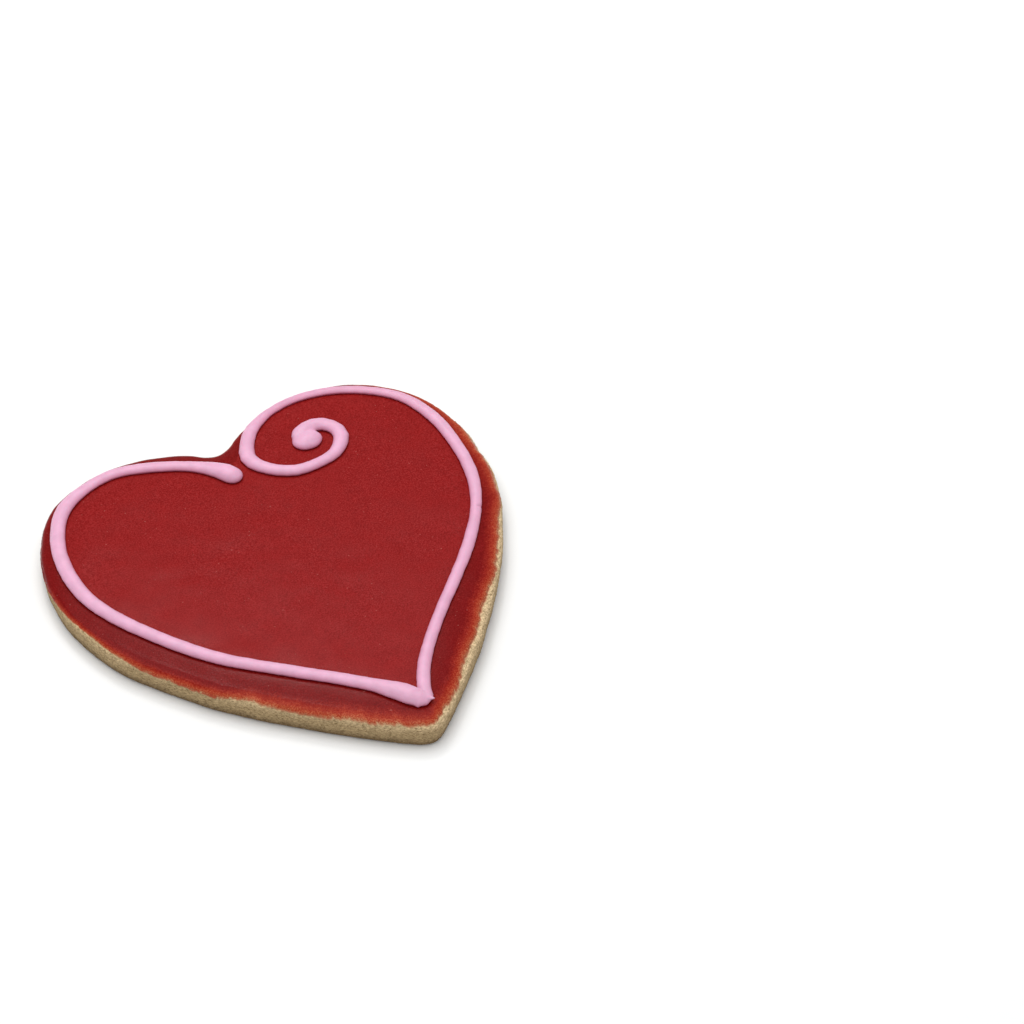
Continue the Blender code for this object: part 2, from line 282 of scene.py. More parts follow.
class IcingSettings(bpy.types.PropertyGroup):
    colour: bpy.props.FloatVectorProperty(
        name="Icing", description="Colour of the icing where it is thick", subtype="COLOR", size=3,
        min=0, max=1, default=(0.247, 0.0095, 0.0095),
    )
    # Painted shade: the icing's slope outside the border is darkened where it turns from the light beside
    # the piped line.
    shaded_slope_colour: bpy.props.FloatVectorProperty(
        name="Slope", description="Colour of the icing where it slopes to the edge",
        subtype="COLOR", size=3, min=0, max=1, default=(0.178, 0.005, 0.005),
    )
    thin_colour: bpy.props.FloatVectorProperty(
        name="Thin", description="Colour of the icing as it thins out", subtype="COLOR", size=3,
        min=0, max=1, default=(0.25, 0.013, 0.008),
    )
    rim_colour: bpy.props.FloatVectorProperty(
        name="Rim", description="Colour of the icing near its edge", subtype="COLOR", size=3,
        min=0, max=1, default=(0.335, 0.032, 0.015),
    )
    edge_colour: bpy.props.FloatVectorProperty(
        name="Edge", description="Colour of the last thin icing at the edge", subtype="COLOR", size=3,
        min=0, max=1, default=(0.4, 0.068, 0.03),
    )
    stain_colour: bpy.props.FloatVectorProperty(
        name="Stain", description="Colour that the icing leaves in the crumb beside it",
        subtype="COLOR", size=3, min=0, max=1, default=(0.4, 0.14, 0.07),
    )
    unevenness: bpy.props.FloatProperty(
        name="Unevenness", description="How far the top rises and falls", unit="LENGTH",
        default=0.05 * MM, min=0,
    )
    roughness: bpy.props.FloatProperty(
        name="Roughness", description="How matt the set icing is", subtype="FACTOR",
        min=0, max=1, default=0.17,
    )


class PipingSettings(bpy.types.PropertyGroup):
    colour: bpy.props.FloatVectorProperty(
        name="Piping", description="Colour of the piped line", subtype="COLOR", size=3,
        min=0, max=1, default=(0.72, 0.39, 0.545),
    )
    # Painted shade: the colour that the line darkens to at its foot.
    foot_shade_colour: bpy.props.FloatVectorProperty(
        name="Foot", description="Colour where the icing below stains the line's foot",
        subtype="COLOR", size=3, min=0, max=1, default=(0.45, 0.045, 0.12),
    )
    unevenness: bpy.props.FloatProperty(
        name="Unevenness", description="How far the piped line's surface rises and falls",
        unit="LENGTH", default=0.035 * MM, min=0,
    )
    roughness: bpy.props.FloatProperty(
        name="Roughness", description="How matt the piped line is", subtype="FACTOR",
        min=0, max=1, default=0.4,
    )


class StageSettings(bpy.types.PropertyGroup):
    floor_colour: bpy.props.FloatVectorProperty(
        name="Floor", description="Colour of the plain floor", subtype="COLOR", size=3,
        min=0, max=1, default=(0.9, 0.905, 0.905),
    )
    overhead_power: bpy.props.FloatProperty(
        name="Overhead power", description="Power of the large softbox overhead", unit="POWER",
        default=4.6, min=0,
    )
    far_side_power: bpy.props.FloatProperty(
        name="Far side power", description="Power of the softbox beyond the biscuit", unit="POWER",
        default=0.6, min=0,
    )
    sky_strength: bpy.props.FloatProperty(
        name="Sky strength", description="Brightness of the even light all round",
        default=0.62, min=0,
    )


def curve_through(points, steps):
    """A smooth curve through all the points, with the given number of steps between each pair."""
    points = np.asarray(points, dtype=float)
    before = np.vstack((2 * points[:1] - points[1:2], points[:-1]))
    after = np.vstack((points[1:], 2 * points[-1:] - points[-2:-1]))
    slopes = (after - before) / 2
    t = (np.arange(steps) / steps)[None, :, None]
    near = 2 * t**3 - 3 * t**2 + 1
    leaving = t**3 - 2 * t**2 + t
    arriving = t**3 - t**2
    pieces = (
        near * points[:-1, None] + (1 - near) * points[1:, None]
        + leaving * slopes[:-1, None] + arriving * slopes[1:, None]
    )
    return np.vstack((pieces.reshape(-1, points.shape[1]), points[-1:]))


def evenly(route, step):
    """The same route with points about one step apart."""
    lengths = np.linalg.norm(np.diff(route, axis=0), axis=1)
    along = np.concatenate(([0.0], np.cumsum(lengths)))
    places = np.linspace(0, along[-1], round(along[-1] / step) + 1)
    return np.stack([np.interp(places, along, column) for column in route.T], axis=1)


def widest_ring():
    """The biscuit solid's widest ring, anticlockwise from the heart's point, in millimetres."""
    places = np.array([vert.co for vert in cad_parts["biscuit"].data.vertices]) / MM
    ring = places[np.abs(places[:, 2] - BISCUIT_WIDEST) < SOLID_GAP / 10]
    ring = np.unique(ring[:, :2].round(3), axis=0)
    middle = ring.mean(axis=0)
    turns = np.arctan2(ring[:, 1] - middle[1], ring[:, 0] - middle[0]) + math.pi / 2
    return ring[np.argsort(turns % (2 * math.pi))]


def wander(places, size, seed):
    """Smooth noise between about -1 and 1 with features of the given size in millimetres."""
    shift = Vector([seed * step for step in WANDER_SEED_STEPS])
    return np.array([noise.noise(Vector(place) / size + shift) for place in places]) * WANDER_GAIN


def wander_in_layers(places, layers):
    return sum(share * wander(places, size, seed) for size, seed, share in layers)


def crumb(places, size, seed):
    """Grainy noise with several sizes of feature, between about -1 and 1."""
    shift = Vector([seed * step for step in CRUMB_SEED_STEPS])
    return np.array([
        noise.fractal(Vector(place) / size + shift, *CRUMB_LEVELS) for place in places
    ])


def along_outline(table, count):
    """Smooth values round the outline from a few pairs of share and value."""
    route = curve_through(table, SIDE_FINENESS)
    return np.interp(np.arange(count) / count, route[:, 0], route[:, 1])


def smooth_outline():
    """The widest ring, finer, with the small swells and scallops of a baked edge."""
    ring = widest_ring()
    wrapped = np.vstack((ring[-2:], ring, ring[:3]))
    fine = curve_through(wrapped, ROUNDS_PER_RING_POINT)
    outline = fine[2 * ROUNDS_PER_RING_POINT : (2 + len(ring)) * ROUNDS_PER_RING_POINT]
    flat = np.column_stack((outline, np.zeros(len(outline))))
    swell = along_outline(EDGE_SWELL, len(outline))
    swell += EDGE_SCALLOPS * wander_in_layers(flat, OUTLINE_SCALLOPS)
    return outline + outward_normals(outline) * swell[:, None]


def outward_normals(loop):
    runs = np.roll(loop, -1, axis=0) - np.roll(loop, 1, axis=0)
    normals = np.stack((runs[:, 1], -runs[:, 0]), axis=1)
    return normals / np.linalg.norm(normals, axis=1)[:, None]


OUTLINE = smooth_outline()
SHOULDER = np.array([row for row in BISCUIT_SIDE if row[1] >= BISCUIT_WIDEST])
HEART_MIDDLE = np.array((0.0, 3.5))
AROUND = len(OUTLINE)


def edge_distance(points, spacing):
    """Distance in from the widest outline, taken at every few of its points, to each place."""
    starts = OUTLINE[::spacing]
    runs = np.roll(starts, -1, axis=0) - starts
    spans = (runs * runs).sum(axis=1)
    nearest = []
    for block in np.array_split(points, max(1, len(points) // POINTS_AT_ONCE)):
        offsets = block[:, None, :] - starts[None, :, :]
        along = np.clip((offsets * runs).sum(axis=2) / spans, 0, 1)
        gaps = offsets - along[:, :, None] * runs
        nearest.append(np.sqrt((gaps * gaps).sum(axis=2).min(axis=1)))
    return np.concatenate(nearest)


def spoke_travels():
    """How far to go from each outline point towards the heart's middle for each of the named insets."""
    spokes = HEART_MIDDLE - OUTLINE
    spokes /= np.linalg.norm(spokes, axis=1)[:, None]
    travels = [np.zeros(AROUND)]
    for inset in SPOKE_INSETS[1:]:
        travel = travels[-1] + inset - SPOKE_INSETS[len(travels) - 1]
        for _ in range(SPOKE_ROUNDS):
            reached = edge_distance(OUTLINE + spokes * travel[:, None], NEAR_SPACING)
            travel = travel + inset - reached
        travels.append(travel)
    return spokes, np.array(travels)


SPOKES, TRAVELS = spoke_travels()


def inside_ring(inset, height):
    """A ring that lies the given distance in from the outline, in millimetres."""
    inset = np.broadcast_to(inset, AROUND)
    step = np.clip(np.searchsorted(SPOKE_INSETS, inset, side="right") - 1, 0, len(SPOKE_INSETS) - 2)
    begin = np.array(SPOKE_INSETS)[step]
    end = np.array(SPOKE_INSETS)[step + 1]
    share = (inset - begin) / (end - begin)
    column = np.arange(AROUND)
    travel = TRAVELS[step, column] * (1 - share) + TRAVELS[step + 1, column] * share
    places = OUTLINE + SPOKES * travel[:, None]
    return np.column_stack((places, np.broadcast_to(height, AROUND)))


def shrunk_ring(ring, share):
    """The ring drawn in towards the heart's middle."""
    return HEART_MIDDLE + (ring[:, :2] - HEART_MIDDLE) * share


def height_over(profile, inset):
    insets, heights = zip(*profile)
    return np.interp(inset, insets, heights)


def icing_edge():
    """Where the icing ends, as a distance in from the outline, with its ragged bleed."""
    base = along_outline(ICING_EDGE, AROUND)
    ring = np.column_stack((OUTLINE, np.zeros(AROUND)))
    raggedness = ICING_LEAST_RAGGED + (1 - ICING_LEAST_RAGGED) * np.clip(base, 0, 1)
    edge = base + wander_in_layers(ring, EDGE_RAGS) * raggedness
    return np.clip(edge, ICING_LEAST_INSET, None)


EDGE = icing_edge()
BLEED_SCALE = along_outline(BLEED_SHARPNESS, AROUND)
RUN_DOWN = np.clip(along_outline(RED_RUN, AROUND), 0, None)
FLANK_SAG = along_outline(ICING_SAG, AROUND)
RIM_WIDTH = along_outline(ICING_ROUNDING, AROUND)


def edge_places():
    """Places on a circle as long as the outline, for streaks that run across the icing's edge."""
    steps = np.linalg.norm(np.roll(OUTLINE, -1, axis=0) - OUTLINE, axis=1)
    turns = 2 * np.pi * np.concatenate(([0.0], np.cumsum(steps)[:-1])) / steps.sum()
    return np.column_stack((np.cos(turns), np.sin(turns))) * steps.sum() / (2 * np.pi)


EDGE_PLACES = edge_places()


class RingLoft:
    """One closed solid through rings, each a row of x, y, z and distance in from the icing's edge."""

    def __init__(self, rings):
        self.bm = bmesh.new()
        self.inward = self.bm.verts.layers.float.new("inward")
        self.edge_place = self.bm.verts.layers.float_vector.new("edge_place")
        made = bmesh.ops.create_circle(self.bm, cap_ends=False, radius=MM, segments=AROUND)
        first = self.settle(list(made["verts"]), rings[0])
        ring = first
        for rows in rings[1:]:
            ring = self.grow(ring, rows)
        self.close(first, rings[0])
        self.close(ring, rings[-1])
        bmesh.ops.recalc_face_normals(self.bm, faces=self.bm.faces)

    def settle(self, ring, rows):
        for vert, (x, y, z, inward), (across, along) in zip(ring, rows.tolist(), EDGE_PLACES.tolist()):
            vert.co = (x * MM, y * MM, z * MM)
            vert[self.inward] = inward
            vert[self.edge_place] = (across, along, inward * STREAK_STRETCH)
        return ring

    def grow(self, ring, rows):
        """Extrudes the ring and returns the new one in the same order."""
        edges = [self.bm.edges.get((ring[index - 1], ring[index])) for index in range(AROUND)]
        made = bmesh.ops.extrude_edge_only(self.bm, edges=edges)["geom"]
        fresh = {item for item in made if isinstance(item, bmesh.types.BMVert)}
        twins = [
            next(edge.other_vert(vert) for edge in vert.link_edges if edge.other_vert(vert) in fresh)
            for vert in ring
        ]
        return self.settle(twins, rows)

    def close(self, ring, rows):
        """Fills a ring with faces that meet at its middle."""
        face = self.bm.faces.new(ring)
        middle = bmesh.ops.poke(self.bm, faces=[face])["verts"][0]
        middle[self.inward] = float(rows[:, 3].max())


def link_piece(name, bm, node, material):
    """Makes the mesh an object that rides on the biscuit's body and stands for a CAD node."""
    mesh = bpy.data.meshes.new(name)
    bm.to_mesh(mesh)
    bm.free()
    mesh.shade_smooth()
    mesh.materials.append(material)
    piece = bpy.data.objects.new(name, mesh)
    bpy.context.scene.collection.objects.link(piece)
    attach(piece, "root")
    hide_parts(node)
    return piece


def vertex_inward(mesh):
    inward = np.empty(len(mesh.vertices), dtype=np.float32)
    mesh.attributes["inward"].data.foreach_get("value", inward)
    return inward.astype(float)


def vertex_places(mesh):
    places = np.empty(len(mesh.vertices) * 3, dtype=np.float32)
    mesh.vertices.foreach_get("co", places)
    return places.reshape(-1, 3).astype(float) / MM


def vertex_normals(mesh):
    normals = np.empty(len(mesh.vertices) * 3, dtype=np.float32)
    mesh.vertex_normals.foreach_get("vector", normals)
    return normals.reshape(-1, 3).astype(float)


def put_places(mesh, places):
    mesh.vertices.foreach_set("co", (places * MM).astype(np.float32).ravel())
    mesh.update()


def new_material(name):
    material = bpy.data.materials.new(name)
    material.use_nodes = True
    return material, material.node_tree, material.node_tree.nodes["Principled BSDF"]


def add_node(tree, kind, **values):
    """Adds a node; a value goes to the input of that name, or else to the node's own setting."""
    node = tree.nodes.new(kind)
    for name, value in values.items():
        label = name.replace("_", " ").title()
        if label in node.inputs:
            node.inputs[label].default_value = value
        else:
            setattr(node, name, value)
    return node


def add_noise(tree, place, size, detail=3.0, roughness=0.55):
    texture = add_node(
        tree, "ShaderNodeTexNoise", scale=1 / size, detail=detail, roughness=roughness
    )
    tree.links.new(place, texture.inputs["Vector"])
    return texture.outputs["Fac"]


def object_noise(tree, size, detail=3.0, roughness=0.55):
    """Noise on Object coordinates whose features have the given size in millimetres."""
    place = add_node(tree, "ShaderNodeTexCoord")
    return add_noise(tree, place.outputs["Object"], size * MM, detail, roughness)


def streak_noise(tree, size):
    """Noise drawn out across the icing's edge, between about -1 and 1."""
    place = add_node(tree, "ShaderNodeAttribute", attribute_name="edge_place")
    fac = add_noise(tree, place.outputs["Vector"], size, detail=2.0)
    return work_out(tree, "MULTIPLY", work_out(tree, "SUBTRACT", fac, 0.5), STREAK_GAIN)


def ramp(tree, value, stops):
    """A colour ramp; each stop is a position and a colour."""
    node = add_node(tree, "ShaderNodeValToRGB")
    elements = node.color_ramp.elements
    while len(elements) > len(stops):
        elements.remove(elements[-1])
    while len(elements) < len(stops):
        elements.new(1.0)
    for element, (position, colour) in zip(elements, stops):
        element.position = position
        element.color = (*colour, 1.0)
    tree.links.new(value, node.inputs["Fac"])
    return node.outputs["Color"]


def between(tree, value, low, high, to_low=0.0, to_high=1.0, smooth=True):
    """Maps a range of values onto another, clamped at both ends."""
    kind = "SMOOTHSTEP" if smooth else "LINEAR"
    node = add_node(tree, "ShaderNodeMapRange", interpolation_type=kind)
    node.inputs["From Min"].default_value = low
    node.inputs["From Max"].default_value = high
    node.inputs["To Min"].default_value = to_low
    node.inputs["To Max"].default_value = to_high
    tree.links.new(value, node.inputs["Value"])
    return node.outputs["Result"]


def work_out(tree, operation, first, second):
    node = add_node(tree, "ShaderNodeMath", operation=operation)
    for socket, value in zip(node.inputs, (first, second)):
        if isinstance(value, (int, float)):
            socket.default_value = value
        else:
            tree.links.new(value, socket)
    return node.outputs[0]


def blend_colours(tree, share, first, second, mode="MIX"):
    node = add_node(tree, "ShaderNodeMix", data_type="RGBA", blend_type=mode)
    pairs = zip((node.inputs[0], node.inputs[6], node.inputs[7]), (share, first, second))
    for socket, value in pairs:
        if isinstance(value, (int, float)):
            socket.default_value = value
        elif isinstance(value, tuple):
            socket.default_value = (*value, 1.0)
        else:
            tree.links.new(value, socket)
    return node.outputs[2]


def read_attribute(tree, name):
    node = add_node(tree, "ShaderNodeAttribute", attribute_name=name)
    return node.outputs["Fac"]


def add_bump(tree, shader, height, distance, strength=1.0):
    node = add_node(tree, "ShaderNodeBump", distance=distance * MM, strength=strength)
    tree.links.new(height, node.inputs["Height"])
    tree.links.new(node.outputs["Normal"], shader.inputs["Normal"])


def add_bleed(tree, settings, crumb_colour):
    """Icing's colour over its distance in from the edge, feathering into the crumb outside it."""
    inward = read_attribute(tree, "inward")
    for size, reach in EDGE_STREAKS:
        streaks = work_out(tree, "MULTIPLY", streak_noise(tree, size), reach)
        inward = work_out(tree, "ADD", inward, streaks)
    share = between(tree, inward, 0.0, BLEED_REACH, smooth=False)
    # The last colour, on the slope, is painted shade.
    shades = (
        settings.stain_colour, settings.edge_colour, settings.rim_colour, settings.thin_colour,
        settings.shaded_slope_colour,
    )
    stops = [(inset / BLEED_REACH, tuple(shade)) for inset, shade in zip(EDGE_COLOUR_INSETS, shades)]
    colour = ramp(tree, share, stops)
    return blend_colours(tree, between(tree, inward, *STAIN_FADE), crumb_colour, colour)


def make_biscuit_material(settings, icing):
    """Crumbly tan, its rim paler and, as painted light, paler still towards the right, its bottom
    browner and darkened by painted shade, stained beside the icing.
    """
    material, tree, shader = new_material("baked_biscuit")
    place = add_node(tree, "ShaderNodeTexCoord")
    parts = add_node(tree, "ShaderNodeSeparateXYZ")
    tree.links.new(place.outputs["Object"], parts.inputs["Vector"])
    height = work_out(tree, "MULTIPLY", parts.outputs["Z"], 1 / MM)
    patches = work_out(tree, "SUBTRACT", object_noise(tree, CRUST_PATCH_SIZE), 0.5)
    level = work_out(tree, "ADD", height, work_out(tree, "MULTIPLY", patches, CRUST_PATCH_SHIFT))
    flattened = add_node(tree, "ShaderNodeVectorMath", operation="MULTIPLY")
    flattened.inputs[1].default_value = (1.0, 1.0, CRUST_GRAIN_FLATNESS)
    tree.links.new(place.outputs["Object"], flattened.inputs[0])
    grain = add_noise(
        tree, flattened.outputs["Vector"], CRUST_GRAIN_SIZE * MM, detail=5.0, roughness=0.85
    )
    # Browned base, with painted shade on the lower side.
    browned_and_shaded = between(tree, level, *CRUST_BROWNING_AND_SHADE)
    colour = blend_colours(tree, browned_and_shaded, tuple(settings.base_brown_and_shade_colour), tuple(settings.side_colour))
    # Painted light: the pale rim grows stronger towards the right.
    across = work_out(tree, "MULTIPLY", parts.outputs["X"], 1 / MM)
    rim = between(tree, level, *CRUST_RIM)
    strength = between(tree, across, *CRUST_RIM_LIGHT_ACROSS, *CRUST_RIM_LIGHT_STRENGTH)
    rim = work_out(tree, "MULTIPLY", rim, strength)
    colour = blend_colours(tree, rim, colour, tuple(settings.rim_colour))
    colour = blend_colours(tree, 1.0, colour, ramp(tree, grain, CRUST_GRAIN), "MULTIPLY")
    tree.links.new(add_bleed(tree, icing, colour), shader.inputs["Base Color"])
    shader.inputs["Roughness"].default_value = CRUST_ROUGHNESS
    shader.inputs["Specular IOR Level"].default_value = CRUST_SPECULAR
    pores = object_noise(tree, CRUST_BUMP_SIZE, detail=4.0, roughness=0.7)
    add_bump(tree, shader, pores, CRUST_BUMP)
    return material


def make_icing_material(settings, biscuit):
    """Satin red with a fine speckle, darkened on the slope outside the border by painted shade, and
    orange-red where it thins out.
    """
    material, tree, shader = new_material("red_icing")
    colour = add_bleed(tree, settings, tuple(biscuit.rim_colour))
    # Outside the border the edge colours and the painted shade of the slope stay; inside it the thick
    # colour takes over.
    within = between(tree, read_attribute(tree, "within_border"), *WITHIN_BLEND)
    colour = blend_colours(tree, within, colour, tuple(settings.colour))
    mottle = ramp(tree, object_noise(tree, ICING_MOTTLE_SIZE), ICING_MOTTLE)
    colour = blend_colours(tree, 1.0, colour, mottle, "MULTIPLY")
    grain = object_noise(tree, ICING_SPECKLE_SIZE, detail=2.0)
    colour = blend_colours(tree, 1.0, colour, ramp(tree, grain, ICING_SPECKLE), "MULTIPLY")
    specks = object_noise(tree, ICING_SPECK_SIZE, detail=0.0)
    specks = between(tree, specks, *ICING_SPECK_LEVELS, *ICING_SPECK_STRENGTH)
    colour = blend_colours(tree, specks, colour, ICING_SPECK_COLOUR)
    tree.links.new(colour, shader.inputs["Base Color"])
    shader.inputs["Roughness"].default_value = settings.roughness
    shader.inputs["Specular IOR Level"].default_value = ICING_SPECULAR
    add_bump(tree, shader, grain, ICING_BUMP)
    return material


def make_piping_material(settings):
    """Smooth satin pink, a little see-through, with painted shade darkening and reddening it towards its
    foot.
    """
    material, tree, shader = new_material("pink_icing")
    patches = object_noise(tree, PIPING_PATCH_SIZE)
    deep = tuple(channel * PIPING_DEEPER for channel in settings.colour)
    pale = tuple(min(1.0, channel * PIPING_PALER) for channel in settings.colour)
    colour = ramp(tree, patches, tuple(zip(PIPING_PATCH_LEVELS, (deep, pale))))
    # Painted shade towards the foot of the line.
    foot_shade = work_out(tree, "POWER", read_attribute(tree, "foot_shade"), FOOT_SHADE_CURVE)
    colour = blend_colours(tree, foot_shade, colour, tuple(settings.foot_shade_colour))
    tree.links.new(colour, shader.inputs["Base Color"])
    shader.inputs["Roughness"].default_value = settings.roughness
    shader.inputs["Specular IOR Level"].default_value = PIPING_SPECULAR
    shader.inputs["Subsurface Weight"].default_value = PIPING_SUBSURFACE
    shader.inputs["Subsurface Radius"].default_value = PIPING_SUBSURFACE_RADIUS
    shader.inputs["Subsurface Scale"].default_value = PIPING_SUBSURFACE_DEPTH * MM
    add_bump(tree, shader, object_noise(tree, PIPING_BUMP_SIZE), PIPING_BUMP)
    return material


def make_floor_material(colour):
    material, _, shader = new_material("floor")
    shader.inputs["Base Color"].default_value = (*colour, 1.0)
    shader.inputs["Roughness"].default_value = FLOOR_ROUGHNESS
    shader.inputs["Specular IOR Level"].default_value = FLOOR_SPECULAR
    return material


def with_inward(places, inward):
    return np.column_stack((places, np.broadcast_to(inward, AROUND)))


def biscuit_rings():
    """Rings from the middle of the underside, out and up the side, and over the shoulder."""
    side = evenly(curve_through(BISCUIT_SIDE, SIDE_FINENESS), SIDE_STEP)
    lengths = np.concatenate(([0.0], np.cumsum(np.linalg.norm(np.diff(side, axis=0), axis=1))))
    upper = side[:, 1] >= BISCUIT_WIDEST
    edge_length = np.interp(EDGE, side[upper, 0], lengths[upper])
    base = inside_ring(side[0, 0], 0.0)
    rings = []
    for share in reversed(UNDERSIDE_RINGS):
        flat = np.column_stack((shrunk_ring(base, share), np.zeros(AROUND)))
        rings.append(with_inward(flat, UNDERSIDE_INWARD))
    for (inset, height), length in zip(side, lengths):
        inward = (length - edge_length + RUN_DOWN) * BLEED_SCALE
        rings.append(with_inward(inside_ring(inset, height), inward))
    return rings


def crumble(mesh, depth, share):
    """Pushes the surface in and out by its crumb, by a share of the depth at each vertex."""
    places = vertex_places(mesh)
    normals = vertex_normals(mesh)
    size, seed, weight = COARSE_CRUMB
    coarse = weight * crumb(places, size, seed)
    size, seed, weight = FINE_CRUMB
    fine = weight * crumb(places * (1, 1, FINE_CRUMB_FLATNESS), size, seed)
    push = depth / MM * (coarse + fine - CRUMB_SINK)
    moved = places + normals * (push * share)[:, None]
    moved[:, 2] = np.maximum(moved[:, 2], 0)
    put_places(mesh, moved)


def make_biscuit(settings, icing):
    """The baked biscuit; its flat underside stays flat."""
    solid = RingLoft(biscuit_rings())
    material = make_biscuit_material(settings, icing)
    piece = link_piece("biscuit_body", solid.bm, "biscuit", material)
    heights = vertex_places(piece.data)[:, 2]
    crumble(piece.data, settings.crumb_depth, np.clip((heights - CRUMB_BEGIN) / CRUMB_FADE, 0, 1))
    return piece


def icing_rings():
    """Rings from the middle of the icing's underside, out to its edge and over its top."""
    rings = []
    deep = inside_ring(EDGE + ICING_NEAR_REACH, ICING_UNDERSIDE)
    for share in ICING_UNDERSIDE_RINGS:
        flat = np.column_stack((shrunk_ring(deep, share), np.full(AROUND, ICING_UNDERSIDE)))
        rings.append(with_inward(flat, ICING_NEAR_REACH))
    under = height_over(SHOULDER, EDGE + ICING_UNDER_INSET) - ICING_BITE
    rings.append(with_inward(inside_ring(EDGE + ICING_UNDER_INSET, under), 0.0))
    for near in np.linspace(0, 1, ICING_NEAR_RINGS) ** ICING_RING_CROWDING * ICING_NEAR_REACH:
        inset = EDGE + near
        inward = (near + RUN_DOWN) * BLEED_SCALE
        rings.append(with_inward(inside_ring(inset, icing_height(inset, near)), inward))
    last = rings[-1]
    fade = np.linspace(1, 0, ICING_FAR_RINGS) ** 2
    for share, kept in zip(np.linspace(1, ICING_CENTRE, ICING_FAR_RINGS)[1:], fade[1:]):
        places = shrunk_ring(last, share)
        inset = edge_distance(places, FAR_SPACING)
        near = inset - EDGE
        scale = 1 + (BLEED_SCALE - 1) * kept
        inward = (near + RUN_DOWN) * scale
        rings.append(with_inward(np.column_stack((places, icing_height(inset, near))), inward))
    return rings


def icing_height(inset, near):
    """Height of the icing's top: it sags outside the border and thins out to nothing at its edge."""
    floor = height_over(SHOULDER, inset)
    begin, end = ICING_SAG_REACH
    sagging = np.clip((end - inset) / (end - begin), 0, 1)
    sag = FLANK_SAG * sagging**2 * (3 - 2 * sagging)
    top = np.maximum(height_over(ICING_TOP, inset) - sag, floor)
    rise = np.clip(near / RIM_WIDTH, 0, 1)
    full = np.sqrt(1 - (1 - rise) ** 2)
    return floor - ICING_BITE + (top - floor + ICING_BITE) * full


def within_border(places):
    """1 inside the middle of the piped border, 0 outside it, for each place."""
    border = np.array([vert.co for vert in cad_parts["pink_piping"].data.vertices]) / MM
    spokes = border[:, :2] - HEART_MIDDLE
    turns = np.arctan2(spokes[:, 1], spokes[:, 0])
    reaches = np.linalg.norm(spokes, axis=1)
    sectors = np.floor(turns / BORDER_SECTOR)
    filled = np.unique(sectors)
    furthest = [reaches[sectors == sector].max() for sector in filled]
    middles = (filled + 0.5) * BORDER_SECTOR
    offsets = places[:, :2] - HEART_MIDDLE
    bearings = np.arctan2(offsets[:, 1], offsets[:, 0])
    reach = np.interp(bearings, middles, furthest, period=2 * np.pi)
    beyond = np.linalg.norm(offsets, axis=1) - (reach - BORDER_HALF_WIDTH)
    return np.clip(0.5 - beyond / BORDER_HALF_WIDTH, 0, 1)


def make_icing(settings, biscuit):
    solid = RingLoft(icing_rings())
    material = make_icing_material(settings, biscuit)
    piece = link_piece("icing_coat", solid.bm, "red_icing", material)
    mesh = piece.data
    places = vertex_places(mesh)
    inward = vertex_inward(mesh)
    above = np.clip((places[:, 2] - ICING_UNDERSIDE - SWELL_BEGIN) / SWELL_FADE, 0, 1)
    lift = settings.unevenness / MM * wander_in_layers(places, ICING_SWELLS)
    places[:, 2] += lift * above * np.clip(inward / THIN_REACH, 0, 1)
    put_places(mesh, places)
    thinness = np.clip(1 - inward / THIN_REACH, 0, 1) * (inward > 0)
    crumble(mesh, biscuit.crumb_depth, THIN_CRUMB * thinness)
    within = mesh.attributes.new("within_border", "FLOAT", "POINT")
    within.data.foreach_set("value", within_border(places).astype(np.float32))
    return piece


def merged_copy(node):
    """The CAD node's mesh as one closed surface in millimetres."""
    bm = bmesh.new()
    bm.from_mesh(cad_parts[node].data)
    bmesh.ops.remove_doubles(bm, verts=bm.verts, dist=WELD)
    bmesh.ops.scale(bm, verts=bm.verts, vec=(1 / MM,) * 3)
    return bm


def pull_peaks(places):
    """Draws the skin out into the small peaks that the piping bag left as it was lifted off."""
    for place, lean, radius, length in PEAKS:
        away = np.linalg.norm(places - np.array(place), axis=1)
        places = places + np.array(lean) * (length * np.exp(-((away / radius) ** 2)))[:, None]
    return places


def fused(bm):
    """The mesh as one even skin, fine enough for the small dents and peaks."""
    mesh = bpy.data.meshes.new("fused")
    bm.to_mesh(mesh)
    bm.free()
    helper = bpy.data.objects.new("fused", mesh)
    bpy.context.scene.collection.objects.link(helper)
    remesh = helper.modifiers.new("even_skin", "REMESH")
    remesh.mode = "VOXEL"
    remesh.voxel_size = PIPING_VOXEL
    smooth = helper.modifiers.new("smooth", "SMOOTH")
    smooth.factor = PIPING_SMOOTH_FACTOR
    smooth.iterations = PIPING_SMOOTHING
    bpy.context.view_layer.update()
    shown = helper.evaluated_get(bpy.context.evaluated_depsgraph_get())
    even = bpy.data.meshes.new_from_object(shown)
    bpy.data.objects.remove(helper)
    bpy.data.meshes.remove(mesh)
    skin = bmesh.new()
    skin.from_mesh(even)
    bpy.data.meshes.remove(even)
    bmesh.ops.scale(skin, verts=skin.verts, vec=(MM,) * 3)
    return skin


def heights_above(places, piece):
    """Height of each place above another piece's top."""
    solid = bmesh.new()
    solid.from_mesh(piece.data)
    tree = BVHTree.FromBMesh(solid)
    solid.free()
    down = Vector((0, 0, -1))
    heights = []
    for x, y, z in places.tolist():
        hit = tree.ray_cast(Vector((x * MM, y * MM, 1.0)), down)[0]
        heights.append(z - hit.z / MM if hit else z - ICING_CROWN)
    return np.array(heights)


def seat_on(places, normals, piece):
    """Seats the line on a piece, its foot drawn in, and returns its heights above it too."""
    above = heights_above(places, piece)
    share = np.clip(above / FOOT_BLEND, 0, 1)
    share = share**2 * (3 - 2 * share)
    seated = (above + FOOT_DEPTH) * share - FOOT_DEPTH
    places[:, 2] += seated - above
    tuck = FOOT_TUCK * np.clip(1 - seated / FOOT_HEIGHT, 0, 1) ** FOOT_CURVE
    places[:, :2] -= normals[:, :2] * tuck[:, None]
    return places, seated


